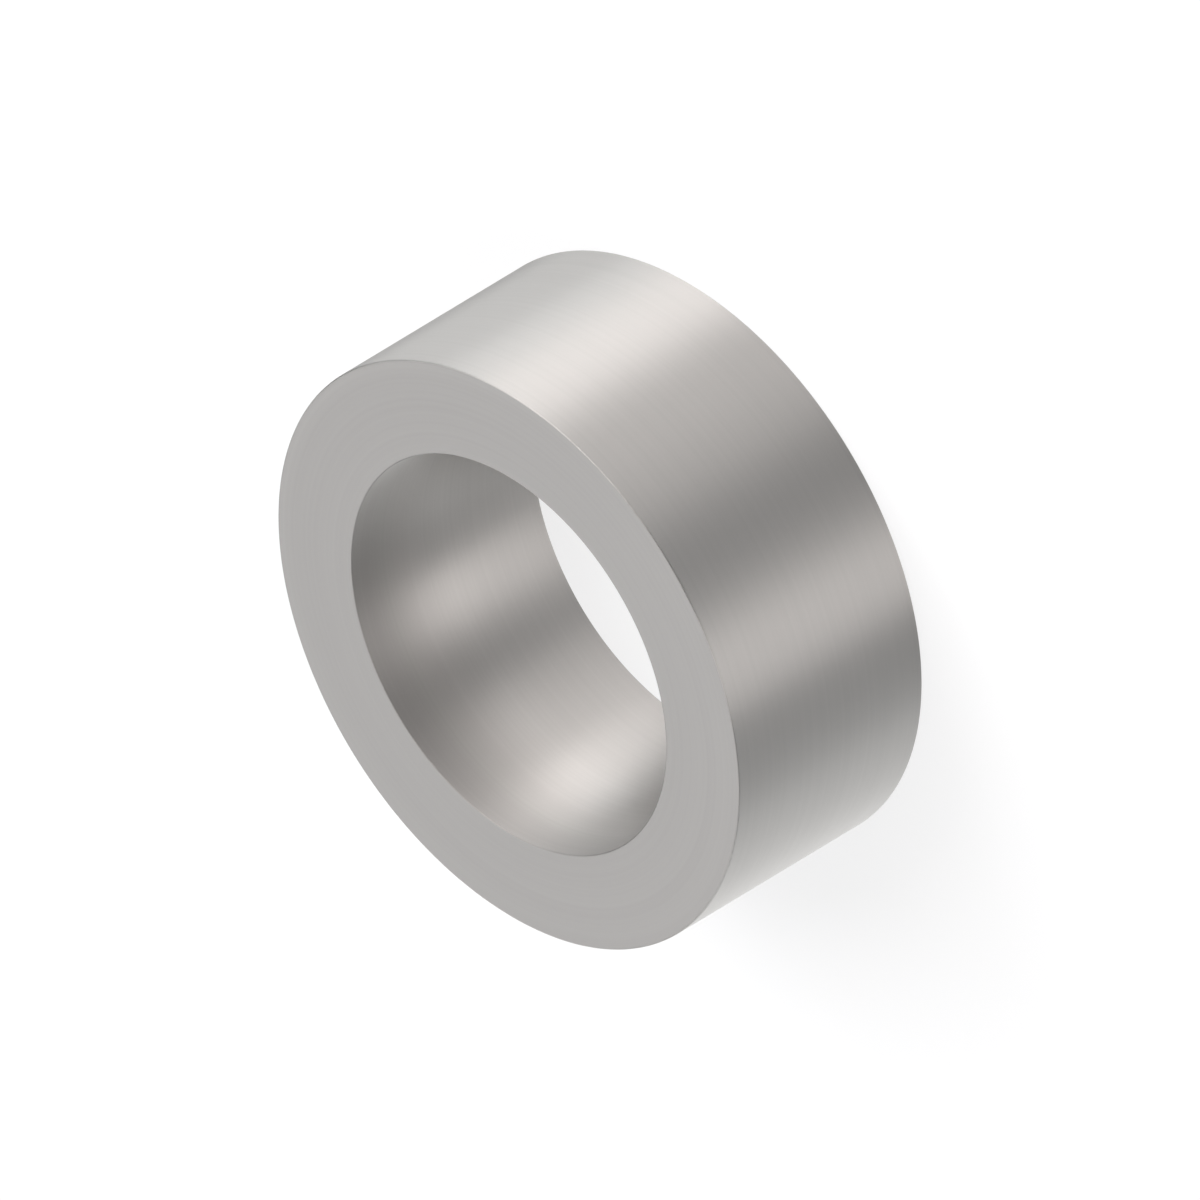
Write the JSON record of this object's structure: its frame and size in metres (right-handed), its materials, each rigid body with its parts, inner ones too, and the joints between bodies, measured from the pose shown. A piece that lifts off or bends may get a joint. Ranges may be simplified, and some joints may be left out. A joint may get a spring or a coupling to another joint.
{
  "type": "spacer sleeve",
  "caption": "Plain round spacer sleeve of turned steel, with a through bore and two flat end faces that hold the parts beside it a set distance apart on an axle.",
  "frame": {"origin": "centre of the bore at the end face that the sleeve stands on", "axes": "+Z along the bore, from the lower end face to the upper one"},
  "size_m": [0.025, 0.025, 0.0099],
  "materials": {
    "turned_steel": "bare turned steel, satin, with fine lathe marks round the walls and on the faced ends"
  },
  "bodies": {
    "root": {"spacer_sleeve": "turned_steel"}
  },
  "joints": []
}
